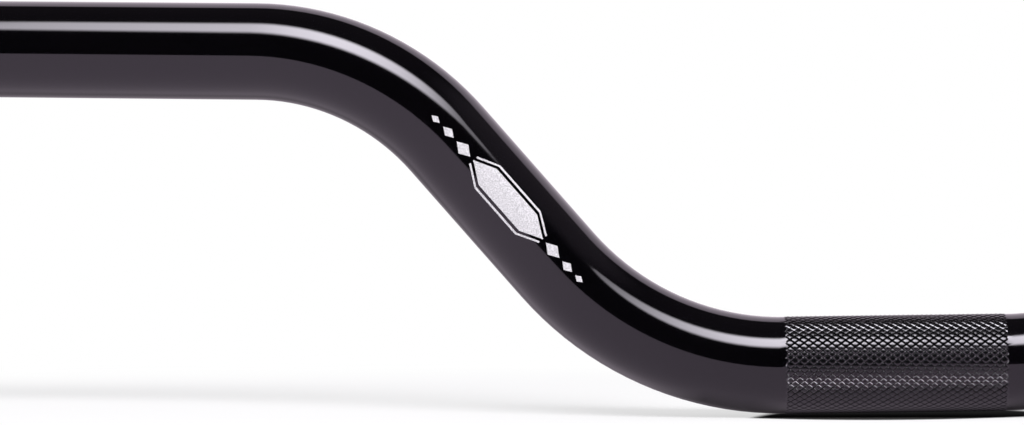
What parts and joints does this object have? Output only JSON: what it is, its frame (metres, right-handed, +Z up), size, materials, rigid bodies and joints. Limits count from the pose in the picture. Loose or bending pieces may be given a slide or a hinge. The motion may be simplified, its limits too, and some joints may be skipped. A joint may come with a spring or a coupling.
{
  "type": "bmx handlebar",
  "caption": "Low-rise BMX race handlebar: one bent steel tube with a knurled stem clamp zone, two sloping uprights and swept-back straight grip ends, in gloss black.",
  "frame": {"origin": "middle of the clamp zone, on the tube's centre line", "axes": "+X along the clamp zone to one side, +Y back towards the rider, +Z up, as on the bicycle"},
  "size_m": [0.594, 0.05, 0.0986],
  "materials": {
    "gloss_black_paint": "gloss black paint over steel"
  },
  "bodies": {
    "root": {"handlebar": "gloss_black_paint"}
  },
  "joints": []
}
